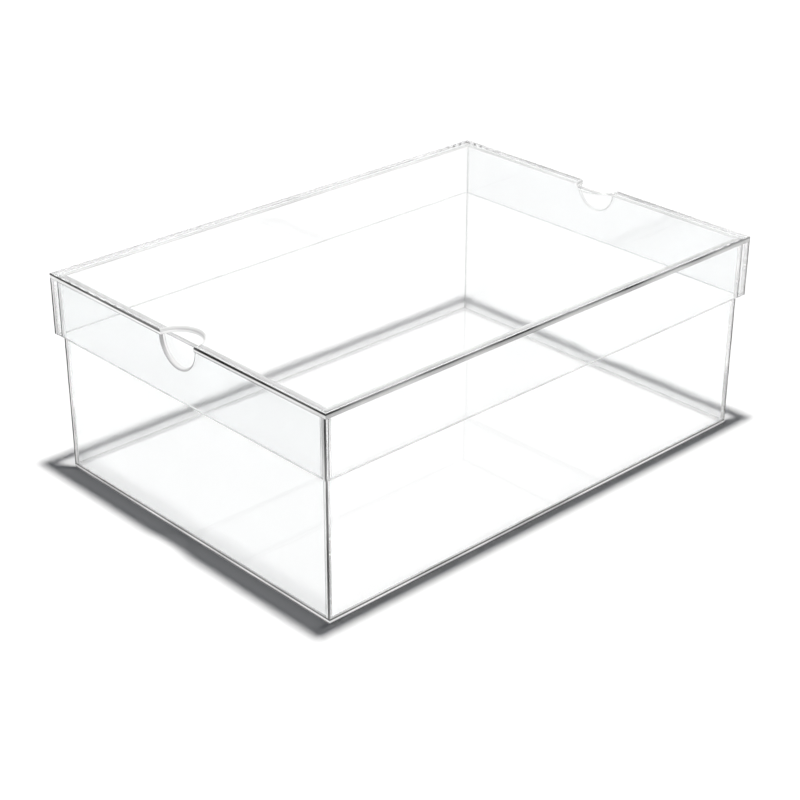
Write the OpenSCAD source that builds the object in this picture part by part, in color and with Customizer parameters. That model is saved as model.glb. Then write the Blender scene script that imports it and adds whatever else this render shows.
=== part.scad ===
// Clear shoe box with a lift-off lid.
// Base: a floor panel with four walls standing on it.
// Lid: a top panel lying on four skirts, with a finger notch at the
// middle of each short end, cut into both the top panel and the skirt.
// Every piece is flat sheet, bonded edge to edge.
// Origin: centre of the footprint, on the surface the box stands on.
// X runs along the length (left is -X), Y across the width (front is -Y), Z up.

/* [Overall] */
// Outside length of the lid
lid_length = 343; // [240:1:400]
// Outside width of the lid
lid_width = 242; // [160:1:300]
// Height of the closed box, from the ground to the top of the lid
closed_height = 128; // [100:1:180]

/* [Sheet] */
// Thickness of the clear sheet that every panel is cut from
sheet = 3; // [2:0.5:4]

/* [Lid] */
// Outside depth of the lid, from its top face to the lower edge of its skirts
skirt_depth = 38.5; // [30:0.5:60]
// Gap between a lid skirt and the base wall behind it
lid_clearance = 0.8; // [0.4:0.1:2]
// Radius of each finger notch
notch_radius = 14.5; // [8:0.5:20]
// Width and depth of the bevel round the outer edge of each finger notch
notch_bevel = 1.5; // [0.5:0.1:1.8]

/* [Hidden] */
$fn = 96;

// The base fits inside the lid skirts
base_length = lid_length - 2 * (sheet + lid_clearance);
base_width = lid_width - 2 * (sheet + lid_clearance);

// Underside of the lid's top panel, which rests on the rim of the base
lid_top_z = closed_height - sheet;
// The walls stand on the floor panel
wall_height = lid_top_z - sheet;
skirt_height = skirt_depth - sheet;
skirt_z = closed_height - skirt_depth;

// How far the notch cutter runs past each face of the sheet
overcut = 1;

// Clear tints, as red, green, blue, opacity
top_color = [0.95, 0.97, 0.98, 0.35];
side_color = [0.93, 0.95, 0.96, 0.35]; // floor panel, long walls and long skirts
end_color = [0.91, 0.94, 0.96, 0.35];

// ---- Shared shapes ----

// A flat panel, centred on X and Y, standing on its own lower face
module panel(x, y, z) {
    translate([-x / 2, -y / 2, 0]) cube([x, y, z]);
}

// Finger cutter for a sheet lying between z = 0 and z = sheet.
// Its bevelled mouth is at the upper face.
module notch_cutter() {
    translate([0, 0, -overcut])
        cylinder(r = notch_radius, h = sheet + 2 * overcut);
    translate([0, 0, sheet - notch_bevel])
        cylinder(r1 = notch_radius, r2 = notch_radius + notch_bevel, h = notch_bevel);
    translate([0, 0, sheet])
        cylinder(r = notch_radius + notch_bevel, h = overcut);
}

// ---- Base ----

module base_floor_panel() {
    color(side_color) panel(base_length, base_width, sheet);
}

// The long walls run the full length of the base; side is -1 front, 1 back
module base_long_wall(side) {
    translate([0, side * (base_width - sheet) / 2, sheet])
        color(side_color) panel(base_length, sheet, wall_height);
}

module base_front_wall() { base_long_wall(-1); }

module base_back_wall() { base_long_wall(1); }

// The end walls fit between the long walls; side is -1 left, 1 right
module base_end_wall(side) {
    translate([side * (base_length - sheet) / 2, 0, sheet])
        color(end_color) panel(sheet, base_width - 2 * sheet, wall_height);
}

module base_left_end_wall() { base_end_wall(-1); }

module base_right_end_wall() { base_end_wall(1); }

// ---- Lid ----

// Full-size panel with a half-round notch in each short edge
module lid_top_panel() {
    color(top_color)
        difference() {
            translate([0, 0, lid_top_z]) panel(lid_length, lid_width, sheet);
            for (side = [-1, 1])
                translate([side * lid_length / 2, 0, lid_top_z]) notch_cutter();
        }
}

// The long skirts run the full length of the lid; side is -1 front, 1 back
module lid_long_skirt(side) {
    translate([0, side * (lid_width - sheet) / 2, skirt_z])
        color(side_color) panel(lid_length, sheet, skirt_height);
}

module lid_front_skirt() { lid_long_skirt(-1); }

module lid_back_skirt() { lid_long_skirt(1); }

// The end skirts fit between the long skirts, each with a half-round
// notch at the middle of its upper edge, bevelled on the outer face
module lid_right_end_skirt() {
    color(end_color)
        difference() {
            translate([(lid_length - sheet) / 2, 0, skirt_z])
                panel(sheet, lid_width - 2 * sheet, skirt_height);
            translate([lid_length / 2 - sheet, 0, lid_top_z])
                rotate([0, 90, 0]) notch_cutter();
        }
}

module lid_left_end_skirt() { mirror([1, 0, 0]) lid_right_end_skirt(); }

base_floor_panel();
base_front_wall();
base_back_wall();
base_left_end_wall();
base_right_end_wall();
lid_top_panel();
lid_front_skirt();
lid_back_skirt();
lid_left_end_skirt();
lid_right_end_skirt();
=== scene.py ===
"""A clear acrylic box: a base of five bonded sheets under a loose lid of five more.

The box is centred on the z axis and stands just above z = 0. Its long sheets face
front (-y) and back (+y), its end sheets left (-x) and right (+x). The lid has a
half-round finger notch in the middle of each end, cut in both its top and its skirt.
Lengths are in metres, except insets and depths of arrises, which are in millimetres.
"""
import math
from collections import namedtuple

import bmesh
import bpy
from mathutils import Matrix, Vector


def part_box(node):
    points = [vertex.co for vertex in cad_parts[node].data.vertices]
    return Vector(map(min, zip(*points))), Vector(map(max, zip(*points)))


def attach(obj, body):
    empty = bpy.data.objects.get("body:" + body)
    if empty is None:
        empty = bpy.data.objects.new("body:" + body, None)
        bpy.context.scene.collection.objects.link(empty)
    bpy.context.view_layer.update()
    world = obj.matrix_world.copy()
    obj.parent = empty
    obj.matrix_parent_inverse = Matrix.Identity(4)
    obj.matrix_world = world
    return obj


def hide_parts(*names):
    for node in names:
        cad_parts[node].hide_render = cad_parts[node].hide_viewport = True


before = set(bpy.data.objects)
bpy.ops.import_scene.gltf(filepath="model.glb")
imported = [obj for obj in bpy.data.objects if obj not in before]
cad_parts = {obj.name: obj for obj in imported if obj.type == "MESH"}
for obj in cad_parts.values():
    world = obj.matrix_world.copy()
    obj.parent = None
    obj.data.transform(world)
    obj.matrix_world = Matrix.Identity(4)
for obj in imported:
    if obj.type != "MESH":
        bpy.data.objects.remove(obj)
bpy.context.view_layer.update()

MM = 0.001
BOND = 0.00004          # hairline left between two bonded sheets

# Insets and depths of the arrises, mm
FREE = 0.38             # inset of an arris that is left free
SEAM = 0.03             # inset of an arris inside a joint
FOOT_INSET = 0.12       # outer bottom arris of the base walls
TOP_SOFT = 0.3          # outer arris of the lid's top
TOP_DEPTH = (1.0, 0.15)         # outer and inner arris depth of the lid's top
FLOOR_DEPTH = (0.85, 0.75)      # the same for the base's floor
NOTCH_EASE = (1.5, 0.3)         # inset and depth of a notch's outer and inner lips

NOTCH_RADIUS = 14.5 * MM
NOTCH_STEPS = 48
ARRIS_STEPS = 4

# The ground
GROUND_DROP = 0.0006    # it lies this far under the box, which shows as a fine dark line
GROUND_RADII = (0.25, 0.5, 0.9, 1.3, 1.7)
GROUND_SEGMENTS = 96

BACKDROP = 1.12         # strength of the plain backdrop


def add_object(name, data):
    obj = bpy.data.objects.new(name, data)
    bpy.context.scene.collection.objects.link(obj)
    return obj


# ---------------------------------------------------------------- sheets
# Each panel is a flat closed sheet with polished, slightly rounded arrises. It is
# drawn in its own plane (x, y), and its own z runs from its outer face to its inner one.
# Material slots: polished face, cut edge, arris, bonded joint, and the bore and eased
# lips of a finger notch.
FACE, EDGE, ARRIS, JOINT, NOTCH, LIP = range(6)

# outer and inner are the (x, y) insets of the two faces, signed towards the material,
# and depth holds how deep the outer and inner arrises reach, all in mm. arc marks a
# point of a notch, turn a point where two sides meet at an angle.
Corner = namedtuple("Corner", "x y outer inner arc turn depth",
                    defaults=(False, True, (0.25, 0.25)))


def rectangle(x0, y0, x1, y1, outer, inner, **depth):
    """outer and inner give the inset at the x0, y0, x1 and y1 sides."""
    def insets(x_side, y_side):
        x_sign = 1 if x_side == 0 else -1
        y_sign = 1 if y_side == 1 else -1
        return [(x_sign * face[x_side], y_sign * face[y_side]) for face in (outer, inner)]

    return [
        Corner(x0, y0, *insets(0, 1), **depth),
        Corner(x1, y0, *insets(2, 1), **depth),
        Corner(x1, y1, *insets(2, 3), **depth),
        Corner(x0, y1, *insets(0, 3), **depth),
    ]


def notch_arc(x, y, start, straight):
    """The half-round of a notch about (x, y), clockwise from the angle start. straight
    holds the outer and inner insets of the straight edge that it is cut in."""
    middle = start - math.pi / 2
    into_sheet = (math.cos(middle), math.sin(middle))
    points = []
    for step in range(NOTCH_STEPS + 1):
        angle = start - math.pi * step / NOTCH_STEPS
        away = (math.cos(angle), math.sin(angle))
        is_end = step in (0, NOTCH_STEPS)
        insets = [
            tuple(a * ease + i * (inset if is_end else 0) for a, i in zip(away, into_sheet))
            for ease, inset in zip(NOTCH_EASE, straight)
        ]
        points.append(Corner(x + NOTCH_RADIUS * away[0], y + NOTCH_RADIUS * away[1], *insets,
                             arc=True, turn=is_end, depth=NOTCH_EASE))
    return points


def arris_ring(bm, outline, thickness, angle, inner):
    """One loop round the sheet: angle 0 borders the face, a right angle the edge."""
    verts = []
    for point in outline:
        inset = point.inner if inner else point.outer
        left = 1 - math.sin(angle)
        sunk = point.depth[1 if inner else 0] * MM * (1 - math.cos(angle))
        verts.append(bm.verts.new((point.x + inset[0] * left * MM,
                                   point.y + inset[1] * left * MM,
                                   thickness - sunk if inner else sunk)))
    return verts


def build_sides(bm, outline, rings, bonded_edges):
    """The cut edge and its arrises, with a sharp line wherever two surfaces meet."""
    last = len(rings) - 1
    count = len(outline)
    arcs = [outline[i].arc and outline[(i + 1) % count].arc for i in range(count)]
    for level in range(last):
        flat = level == ARRIS_STEPS
        for i, arc in enumerate(arcs):
            j = (i + 1) % count
            face = bm.faces.new((rings[level][i], rings[level][j],
                                 rings[level + 1][j], rings[level + 1][i]))
            if arc:
                face.material_index = NOTCH if flat else LIP
            elif flat:
                face.material_index = JOINT if i in bonded_edges else EDGE
            else:
                face.material_index = ARRIS
            face.smooth = not flat or arc
    sharp = []
    for level, ring in enumerate(rings):
        for i, arc in enumerate(arcs):
            beside_edge = level in (ARRIS_STEPS, ARRIS_STEPS + 1) and not arc
            if level in (0, last) or beside_edge:
                sharp.append((ring[i], ring[(i + 1) % count]))
    for i, point in enumerate(outline):
        if point.turn:
            sharp += [(rings[level][i], rings[level + 1][i]) for level in range(last)]
    for pair in sharp:
        bm.edges.get(pair).smooth = False


def glue_margins(bm, inner_face, thickness, middle):
    """Divide the inner face at plus and minus each half-width of middle, and make
    what lies beyond them a joint."""
    faces = [inner_face]
    for axis, limit in enumerate(middle):
        direction = Vector((0, 0, 0))
        direction[axis] = 1
        for value in (-limit, limit):
            geom = set(faces)
            for face in faces:
                geom.update(face.edges)
                geom.update(face.verts)
            bmesh.ops.bisect_plane(bm, geom=list(geom), plane_co=direction * value,
                                   plane_no=direction, dist=1e-7)
            faces = [f for f in bm.faces if all(abs(v.co.z - thickness) < 1e-8 for v in f.verts)]
    for face in faces:
        centre = face.calc_center_median_weighted()
        if any(abs(centre[axis]) > limit for axis, limit in enumerate(middle)):
            face.material_index = JOINT


def sheet(name, outline, thickness, place, middle=(), bonded_edges=()):
    """place turns the sheet's own x, y, z into the box's. middle holds the half-widths
    of the unglued middle of the inner face, bonded_edges the outline's glued sides."""
    bm = bmesh.new()
    angles = [math.pi / 2 * i / ARRIS_STEPS for i in range(ARRIS_STEPS + 1)]
    rings = [arris_ring(bm, outline, thickness, a, inner=False) for a in angles]
    rings += [arris_ring(bm, outline, thickness, a, inner=True) for a in reversed(angles)]
    build_sides(bm, outline, rings, bonded_edges)
    outer_face = bm.faces.new(tuple(reversed(rings[0])))
    inner_face = bm.faces.new(tuple(rings[-1]))
    for face in (outer_face, inner_face):
        face.material_index = FACE
        face.smooth = False
    glue_margins(bm, inner_face, thickness, middle)
    for vert in bm.verts:
        vert.co = Vector(place(*vert.co))
    bmesh.ops.recalc_face_normals(bm, faces=bm.faces[:])
    if bm.calc_volume(signed=True) < 0:
        bmesh.ops.reverse_faces(bm, faces=bm.faces[:])
    mesh = bpy.data.meshes.new(name)
    bm.to_mesh(mesh)
    bm.free()
    return add_object(name, mesh)


# ---------------------------------------------------------------- shader nodes
def grey(level):
    return (level, level, level, 1)


class Tree:
    """Short names for building a node tree."""

    def __init__(self, owner):
        owner.use_nodes = True
        self.tree = owner.node_tree
        self.tree.nodes.clear()

    def add(self, kind, inputs=None, **settings):
        """inputs maps an input's name or number to its value or to a socket."""
        node = self.tree.nodes.new(kind)
        for name, value in settings.items():
            setattr(node, name, value)
        for key, value in (inputs or {}).items():
            if isinstance(value, bpy.types.NodeSocket):
                self.tree.links.new(value, node.inputs[key])
            else:
                node.inputs[key].default_value = value
        return node

    def out(self, kind, inputs=None, output=0, **settings):
        return self.add(kind, inputs, **settings).outputs[output]

    def math(self, operation, *values, clamp=False):
        return self.out("ShaderNodeMath", dict(enumerate(values)),
                        operation=operation, use_clamp=clamp)

    def coords(self):
        return self.out("ShaderNodeTexCoord", output="Object")

    def scaled(self, vector, scale):
        return self.out("ShaderNodeMapping", {"Vector": vector, "Scale": scale})

    def noise(self, vector, scale, detail, rough=0.5):
        return self.out("ShaderNodeTexNoise", {"Vector": vector, "Scale": scale,
                                               "Detail": detail, "Roughness": rough}, "Fac")

    def ramp(self, factor, stops):
        """stops are (position, colour)."""
        node = self.add("ShaderNodeValToRGB", {0: factor})
        elements = node.color_ramp.elements
        while len(elements) < len(stops):
            elements.new(0.5)
        for element, (position, colour) in zip(elements, stops):
            element.position = position
            element.color = colour
        return node.outputs[0]

    def smoothstep(self, value, start, end):
        return self.out("ShaderNodeMapRange",
                        {"Value": value, "From Min": start, "From Max": end},
                        interpolation_type="SMOOTHSTEP")

    def mix(self, factor, first, second):
        return self.out("ShaderNodeMixShader", {0: factor, 1: first, 2: second})

    def mix_colour(self, factor, first, second):
        return self.out("ShaderNodeMix", {"Factor": factor, "A": first, "B": second},
                        "Result", data_type="RGBA")


# ---------------------------------------------------------------- acrylic
MAX_BOUNCES = 24
CAUGHT_DEPTH = 22       # a ray that has met this many faces is taken as caught in the sheet
GRAZING = 0.118         # cosine to the surface below which a lamp's light falls away
# greys of the painted dark line along an edge's rim
RIM_GREYS = (0.01, 0.2)


def polish(tree, coords, finish):
    """Roughness and bump height of a finish: face, edge or arris."""
    if finish == "face":
        # faint hairlines from wiping, and the slight swell of a cast sheet
        lines = tree.noise(tree.scaled(coords, (900.0, 14.0, 90.0)), scale=1.0, detail=0.0)
        roughness = tree.math("MULTIPLY", tree.math("GREATER_THAN", lines, 0.82), 0.04)
        swell = tree.noise(coords, scale=14.0, detail=0.0)
        return roughness, tree.math("MULTIPLY", swell, 0.00010)
    # fine marks left by the saw and the polishing wheel
    marks = tree.noise(tree.scaled(coords, (500.0, 500.0, 120.0)), scale=1.0, detail=2.0, rough=0.6)
    roughness = tree.math("MULTIPLY", marks, 0.06 if finish == "edge" else 0.2)
    return roughness, tree.math("MULTIPLY", marks, 0.000001)


def paint_edge_light_and_shade(tree, coords, surface, glow, share, glow_y=None, glow_up=None, rim=None):
    """Lay painted light and shade over an edge or arris, by share, as an emission: pale greys
    paint the light carried along the sheet to its edge, dark greys paint the dark lines of
    the edges, painted reflections of dark surroundings. glow, glow_y and glow_up are pairs
    of greys: in general, where it faces front or back, and where it faces up or down. rim
    is the distance from the box's middle plane to the outer face, along which an edge is
    painted dark, a painted dark line."""
    along = tree.noise(coords, scale=22.0, detail=1.0)

    def greys(pair):
        return tree.ramp(along, [(0.36, grey(pair[0])), (0.62, grey(pair[1]))])

    normal = tree.out("ShaderNodeNewGeometry", output="Normal")
    facing = tree.add("ShaderNodeSeparateXYZ", {0: normal}).outputs
    colour = greys(glow)
    for other, axis in ((glow_y, "Y"), (glow_up, "Z")):
        if other:
            turned = tree.math("POWER", tree.math("ABSOLUTE", facing[axis]), 1.5)
            colour = tree.mix_colour(turned, colour, greys(other))
    # seen from inside the sheet it mirrors the pale surroundings instead
    behind = tree.out("ShaderNodeNewGeometry", output="Backfacing")
    amount = tree.math("MULTIPLY_ADD", behind, -share * 0.85, share)
    if rim:
        across = tree.out("ShaderNodeSeparateXYZ", {0: coords}, "Y")
        # from inside, the same line shows deeper into the edge
        reach = tree.math("MULTIPLY_ADD", behind, 0.0008, tree.math("ABSOLUTE", across))
        near = tree.smoothstep(reach, rim - 0.0016, rim - 0.0013)
        # the painted dark line is strongest on the upright ends, fainter along the bottom
        sideways = tree.math("ABSOLUTE", facing["X"])
        upright = tree.math("MULTIPLY", near, tree.math("MULTIPLY_ADD", sideways, 0.55, 0.45))
        colour = tree.mix_colour(upright, colour, greys(RIM_GREYS))
        amount = tree.math("MAXIMUM", amount, tree.math("MULTIPLY", upright, 0.92))
    # the painted light and shade, laid over the surface as an emission
    return tree.mix(amount, surface, tree.out("ShaderNodeEmission", {"Color": colour}))


def lamp_share(tree, passed):
    """The share of a lamp's light that goes straight on through one polished
    surface: it falls away when the light only grazes it."""
    geometry = tree.add("ShaderNodeNewGeometry").outputs
    cosine = tree.out("ShaderNodeVectorMath", {0: geometry["Normal"], 1: geometry["Incoming"]},
                      "Value", operation="DOT_PRODUCT")
    steepness = tree.math("DIVIDE", tree.math("ABSOLUTE", cosine), GRAZING)
    kept = tree.math("POWER", steepness, 3.0)
    return tree.math("MULTIPLY", tree.math("MINIMUM", kept, 1.0), passed)


def acrylic(name, tint, caught_painted_greys, passed, finish="face", painted_edge_look=None):
    """Clear cast acrylic. A ray that stays between the faces for many bounces is painted
    with a glow between two given greys: painted light standing in for the light carried
    along the sheet. passed is the share of a lamp's light that each surface lets through.
    The last argument, when given, holds the settings of the painted light and shade laid
    over an edge or arris."""
    mat = bpy.data.materials.new(name)
    tree = Tree(mat)
    coords = tree.coords()
    path = tree.add("ShaderNodeLightPath").outputs

    cloud = tree.noise(coords, scale=9.0, detail=1.0)
    lighter = tuple(min(1.0, channel + 0.01) for channel in tint)
    roughness, height = polish(tree, coords, finish)
    bump = tree.out("ShaderNodeBump", {"Strength": 1.0, "Distance": 1.0, "Height": height})
    surface = tree.out("ShaderNodeBsdfPrincipled", {
        "Transmission Weight": 1.0,
        "IOR": 1.49,
        "Base Color": tree.ramp(cloud, [(0.3, (*tint, 1)), (0.7, (*lighter, 1))]),
        "Roughness": roughness,
        "Normal": bump,
    })
    if painted_edge_look:
        surface = paint_edge_light_and_shade(tree, coords, surface, **painted_edge_look)

    # lamps and soft light pass straight through, a little weaker
    clear = tree.out("ShaderNodeBsdfTransparent", {"Color": lamp_share(tree, passed)})
    lamp = tree.math("ADD", path["Is Shadow Ray"], path["Is Diffuse Ray"], clamp=True)
    surface = tree.mix(lamp, surface, clear)

    # painted light: a ray held in the sheet is given an emission between two greys
    along = tree.noise(coords, scale=22.0, detail=1.0)
    greys = tree.ramp(along, [(0.35, grey(caught_painted_greys[0])), (0.65, grey(caught_painted_greys[1]))])
    painted_trapped_glow = tree.out("ShaderNodeEmission", {"Color": greys})
    deep = tree.math("GREATER_THAN", path["Ray Depth"], CAUGHT_DEPTH - 0.5)
    tree.add("ShaderNodeOutputMaterial", {"Surface": tree.mix(deep, surface, painted_trapped_glow)})
    return mat


def bonded(name, passed):
    """A solvent-welded joint: the two sheets are one piece of acrylic there, so light
    goes straight on, but for a scatter of tiny bubbles. passed is the share of a
    lamp's light that goes on through it."""
    mat = bpy.data.materials.new(name)
    tree = Tree(mat)
    clear = tree.out("ShaderNodeBsdfTransparent", {"Color": grey(0.99)})
    milk = tree.out("ShaderNodeEmission", {"Color": grey(0.62)})
    bubbles = tree.noise(tree.coords(), scale=620.0, detail=2.0, rough=0.7)
    specks = tree.math("MULTIPLY", tree.math("GREATER_THAN", bubbles, 0.63), 0.5)
    kept = tree.out("ShaderNodeBsdfTransparent", {"Color": grey(passed)})
    shadow = tree.out("ShaderNodeLightPath", output="Is Shadow Ray")
    joint = tree.mix(shadow, tree.mix(specks, clear, milk), kept)
    tree.add("ShaderNodeOutputMaterial", {"Surface": joint})
    return mat


def family(name, tint, caught_painted_greys, passed, joint, edge, arris, notch=None, lip=None):
    """The materials of one kind of sheet, in slot order."""
    def cut(part, finish, share, painted_edge_look):
        return acrylic(f"{name}_{part}", tint, caught_painted_greys, share, finish, painted_edge_look)

    materials = [
        acrylic(name + "_faces", tint, caught_painted_greys, passed),
        cut("edges", "edge", 0.10, edge),
        cut("arrises", "arris", 0.10, arris),
        joint,
    ]
    if notch:
        materials.append(cut("notch", "edge", 0.3, notch))
        materials.append(cut("notch_lip", "edge", 0.3, lip))
    return materials


LONG_TINT = (0.980, 0.982, 0.983)       # the long sheets, the lid's top and the floor
# painted shade: the end sheets are tinted greyer than the long sheets, though they are the same
# clear acrylic
END_SHADED_TINT = (0.925, 0.933, 0.936)        # the end sheets, a little greyer
# the brightest greys of painted light, standing in for light carried along a sheet
PAINTED_BRIGHT_GREYS = (0.75, 1.0)                    # greys of the brightest piped light
# light that comes in by a sheet's end runs down inside it and never leaves by its
# side, so the lamp is all but shut out where the lid's top sits on its skirt
WELD = bonded("welded_joint", passed=0.02)
FOOT = bonded("welded_foot", passed=0.9)

# edge, arris, notch and lip set the painted light and shade laid over those surfaces: pale greys
# paint light carried along the sheets, dark greys paint dark lines, painted reflections of dark
# surroundings
LOOKS = {
    "lid_top": dict(
        tint=LONG_TINT, caught_painted_greys=(0.35, 0.75), passed=0.985, joint=WELD,
        edge=dict(glow=(0.8, 1.0), share=0.75, glow_y=(0.35, 0.55)),
        arris=dict(glow=(0.0, 0.15), share=0.95, glow_y=(0.04, 0.28)),
        notch=dict(glow=(0.55, 0.85), share=0.6),
        lip=dict(glow=(0.22, 0.5), share=0.6, glow_up=(0.8, 1.0))),
    "lid_long_skirt": dict(
        tint=LONG_TINT, caught_painted_greys=PAINTED_BRIGHT_GREYS, passed=0.98, joint=WELD,
        edge=dict(glow=PAINTED_BRIGHT_GREYS, share=0.5, rim=0.121),
        arris=dict(glow=(0.04, 0.26), share=0.85, glow_up=(0.5, 0.8))),
    "lid_end_skirt": dict(
        tint=END_SHADED_TINT, caught_painted_greys=PAINTED_BRIGHT_GREYS, passed=0.98, joint=WELD,
        edge=dict(glow=(0.4, 0.7), share=0.5),
        arris=dict(glow=(0.2, 0.42), share=0.7),
        notch=dict(glow=PAINTED_BRIGHT_GREYS, share=0.6),
        lip=dict(glow=(0.05, 0.2), share=0.65, glow_up=(0.8, 1.0))),
    "base_long_wall": dict(
        tint=LONG_TINT, caught_painted_greys=PAINTED_BRIGHT_GREYS, passed=0.98, joint=FOOT,
        edge=dict(glow=(0.6, 0.9), share=0.5, rim=0.1172),
        arris=dict(glow=(0.04, 0.26), share=0.85, glow_up=(0.4, 0.7))),
    "base_end_wall": dict(
        tint=END_SHADED_TINT, caught_painted_greys=PAINTED_BRIGHT_GREYS, passed=0.98, joint=FOOT,
        edge=dict(glow=(0.4, 0.7), share=0.5),
        arris=dict(glow=(0.2, 0.4), share=0.5)),
    "base_floor": dict(
        tint=LONG_TINT, caught_painted_greys=(0.45, 0.8), passed=0.985, joint=FOOT,
        edge=dict(glow=(0.5, 0.85), share=0.9),
        arris=dict(glow=(0.0, 0.07), share=0.95)),
}
MATERIALS = {name: family(name, **look) for name, look in LOOKS.items()}


# ---------------------------------------------------------------- the box's pieces
floor_low, floor_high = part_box("base_floor_panel")
THICKNESS = floor_high.z - floor_low.z
# half-widths between the inner faces of the base's walls
BASE_X = floor_high.x - THICKNESS
BASE_Y = floor_high.y - THICKNESS
top_low, top_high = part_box("lid_top_panel")
# half-widths between the inner faces of the lid's skirt
LID_X = top_high.x - THICKNESS
LID_Y = top_high.y - THICKNESS


def finish_piece(obj, kind, body, node):
    for mat in MATERIALS[kind]:
        obj.data.materials.append(mat)
    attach(obj, body)
    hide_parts(node)


def long_sheet(node, side, gaps, outer, inner, half_width, bonded_edge):
    """A sheet facing front (side -1) or back (1). gaps are left below and above it."""
    low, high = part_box(node)
    face = low.y if side < 0 else high.y
    outline = rectangle(low.x, low.z + gaps[0], high.x, high.z - gaps[1], outer, inner)
    return sheet(node + "_sheet", outline, THICKNESS, lambda x, y, z: (x, face - side * z, y),
                 middle=(half_width,), bonded_edges=(bonded_edge,))


def end_sheet(node, side, gaps, outer, inner, notched=False):
    """A sheet facing left (side -1) or right (1), glued all round but for its free side:
    the top, or the bottom when its top is notched."""
    low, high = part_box(node)
    face = low.x if side < 0 else high.x
    top = high.z - gaps[1]
    outline = rectangle(low.y + BOND, low.z + gaps[0], high.y - BOND, top, outer, inner)
    bonded_edges = (0, 1, 3)
    if notched:
        outline[3:3] = notch_arc(0.0, top, 0.0, (SEAM, SEAM))
        bonded_edges = (1, 2, len(outline) - 2, len(outline) - 1)
    return sheet(node + "_sheet", outline, THICKNESS, lambda x, y, z: (face - side * z, x, y),
                 bonded_edges=bonded_edges)


def base():
    outline = rectangle(floor_low.x, floor_low.y, floor_high.x, floor_high.y,
                        outer=(0.35,) * 4, inner=(0.12,) * 4, depth=FLOOR_DEPTH)
    obj = sheet("base_floor_sheet", outline, THICKNESS - BOND,
                lambda x, y, z: (x, y, floor_low.z + z), middle=(BASE_X, BASE_Y))
    finish_piece(obj, "base_floor", "base", "base_floor_panel")

    gaps = (BOND, 2 * BOND)
    for side, node in ((-1, "base_front_wall"), (1, "base_back_wall")):
        obj = long_sheet(node, side, gaps, outer=(FREE, FOOT_INSET, FREE, FREE),
                         inner=(SEAM, SEAM, SEAM, FREE), half_width=BASE_X, bonded_edge=0)
        finish_piece(obj, "base_long_wall", "base", node)
    for side, node in ((-1, "base_left_end_wall"), (1, "base_right_end_wall")):
        obj = end_sheet(node, side, gaps, outer=(SEAM, FOOT_INSET, SEAM, FREE),
                        inner=(SEAM, SEAM, SEAM, FREE))
        finish_piece(obj, "base_end_wall", "base", node)


def lid():
    # the top is drawn from its outside face inwards, so its own z runs down
    corners = rectangle(top_low.x, top_low.y, top_high.x, top_high.y,
                        outer=(TOP_SOFT,) * 4, inner=(SEAM,) * 4, depth=TOP_DEPTH)
    right_notch = notch_arc(top_high.x, 0.0, -math.pi / 2, (TOP_SOFT, SEAM))
    left_notch = notch_arc(top_low.x, 0.0, math.pi / 2, (TOP_SOFT, SEAM))
    outline = corners[:2] + right_notch + corners[2:] + left_notch
    obj = sheet("lid_top_sheet", outline, THICKNESS,
                lambda x, y, z: (x, y, top_high.z - z), middle=(LID_X, LID_Y))
    finish_piece(obj, "lid_top", "lid", "lid_top_panel")

    gaps = (0.0, BOND)
    for side, node in ((-1, "lid_front_skirt"), (1, "lid_back_skirt")):
        obj = long_sheet(node, side, gaps, outer=(FREE, 0.4, FREE, SEAM),
                         inner=(SEAM, 0.25, SEAM, SEAM), half_width=LID_X, bonded_edge=2)
        finish_piece(obj, "lid_long_skirt", "lid", node)
    for side, node in ((-1, "lid_left_end_skirt"), (1, "lid_right_end_skirt")):
        obj = end_sheet(node, side, gaps, outer=(SEAM, 0.5, SEAM, SEAM),
                        inner=(SEAM, 0.35, SEAM, SEAM), notched=True)
        finish_piece(obj, "lid_end_skirt", "lid", node)


# ---------------------------------------------------------------- ground
def ground_material():
    mat = bpy.data.materials.new("pale_floor")
    tree = Tree(mat)
    pale = tree.out("ShaderNodeBsdfDiffuse", {"Color": grey(0.93)})
    # far from the box it fades into the plain backdrop
    far = tree.out("ShaderNodeEmission", {"Strength": BACKDROP})
    distance = tree.out("ShaderNodeVectorMath", {0: tree.coords()}, "Value", operation="LENGTH")
    fade = tree.smoothstep(distance, 0.6, 1.3)
    tree.add("ShaderNodeOutputMaterial", {"Surface": tree.mix(fade, pale, far)})
    return mat


def ground():
    bm = bmesh.new()
    centre = bm.verts.new((0, 0, -GROUND_DROP))
    turns = [2 * math.pi * i / GROUND_SEGMENTS for i in range(GROUND_SEGMENTS)]
    rings = [
        [bm.verts.new((radius * math.cos(a), radius * math.sin(a), -GROUND_DROP)) for a in turns]
        for radius in GROUND_RADII
    ]
    for i in range(GROUND_SEGMENTS):
        j = (i + 1) % GROUND_SEGMENTS
        bm.faces.new((centre, rings[0][i], rings[0][j]))
        for near, far in zip(rings, rings[1:]):
            bm.faces.new((near[i], far[i], far[j], near[j]))
    mesh = bpy.data.meshes.new("pale_floor")
    bm.to_mesh(mesh)
    bm.free()
    obj = add_object("pale_floor", mesh)
    mesh.materials.append(ground_material())


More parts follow.
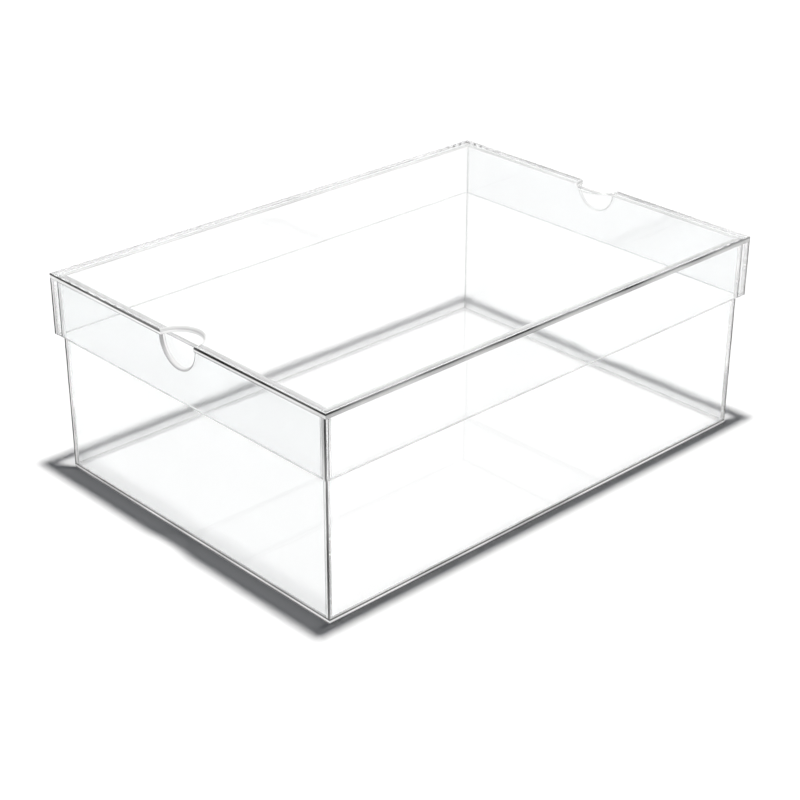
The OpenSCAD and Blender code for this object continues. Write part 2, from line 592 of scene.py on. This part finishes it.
# ---------------------------------------------------------------- light
def studio_world():
    world = bpy.data.worlds.new("studio")
    bpy.context.scene.world = world
    tree = Tree(world)
    path = tree.add("ShaderNodeLightPath").outputs

    def background(colour, strength):
        return tree.out("ShaderNodeBackground", {"Color": colour, "Strength": strength})

    white = background(grey(1.0), BACKDROP)
    # what the clear sheets see: backdrop, a darker band, the softbox above
    direction = tree.out("ShaderNodeTexCoord", output="Generated")
    up = tree.out("ShaderNodeSeparateXYZ", {0: direction}, "Z")
    bands = ((0.0, 1.0), (0.84, 1.0), (0.87, 0.3), (0.94, 0.3), (0.97, 1.0))  # height, grey
    sky = tree.ramp(tree.math("MULTIPLY_ADD", up, 0.5, 0.5),
                    [(height, grey(level)) for height, level in bands])
    room = background(sky, BACKDROP)
    # what lights the ground besides the lamp
    fill = background((0.68, 0.80, 1.0, 1), 0.047)
    seen = tree.mix(path["Is Camera Ray"], room, white)
    tree.add("ShaderNodeOutputWorld", {"Surface": tree.mix(path["Is Diffuse Ray"], seen, fill)})


def overhead_lamp():
    """One small soft lamp almost straight above: the upright sheets catch its grazing
    light, which leaves the narrow dark outline round the box on the ground."""
    light = bpy.data.lights.new("overhead", "POINT")
    light.shadow_soft_size = 0.065
    light.energy = 1.0
    tree = Tree(light)
    strength = tree.out("ShaderNodeLightFalloff", {"Strength": 43.5}, "Constant")
    glow = tree.out("ShaderNodeEmission", {"Color": (1.0, 0.995, 0.985, 1),
                                           "Strength": strength})
    tree.add("ShaderNodeOutputLight", {"Surface": glow})
    obj = add_object("overhead", light)
    obj.location = (-0.046, -0.092, 1.812)
    obj.visible_glossy = False
    obj.visible_transmission = False
    obj.visible_camera = False


# ---------------------------------------------------------------- camera and picture
def add_camera():
    """It looks down at the box from the front left."""
    azimuth, elevation, roll = (math.radians(a) for a in (-43.391, 27.056, 0.187))
    distance, shift_right, shift_up = 1.16006232, -0.00456694, 0.02765488
    back = Vector((math.sin(azimuth) * math.cos(elevation),
                   -math.cos(azimuth) * math.cos(elevation),
                   math.sin(elevation)))
    level = Vector((math.cos(azimuth), math.sin(azimuth), 0))
    upward = back.cross(level)
    right = level * math.cos(roll) + upward * math.sin(roll)
    up = -level * math.sin(roll) + upward * math.cos(roll)
    place = back * distance + right * shift_right + up * shift_up

    data = bpy.data.cameras.new("camera")
    data.sensor_width = 36.0
    data.lens = 83.625165
    data.clip_start = 0.01
    data.clip_end = 50.0
    obj = add_object("camera", data)
    turned = Matrix((right, up, back)).transposed().to_4x4()
    obj.matrix_world = Matrix.Translation(place) @ turned
    bpy.context.scene.camera = obj


def picture_settings():
    scene = bpy.context.scene
    scene.view_settings.view_transform = "Standard"
    cycles = scene.cycles
    cycles.max_bounces = MAX_BOUNCES
    cycles.transmission_bounces = MAX_BOUNCES
    cycles.glossy_bounces = MAX_BOUNCES
    cycles.diffuse_bounces = 3
    cycles.transparent_max_bounces = 48
    cycles.caustics_reflective = False
    cycles.caustics_refractive = False
    cycles.blur_glossy = 0.0


base()
lid()
ground()
studio_world()
overhead_lamp()
add_camera()
picture_settings()
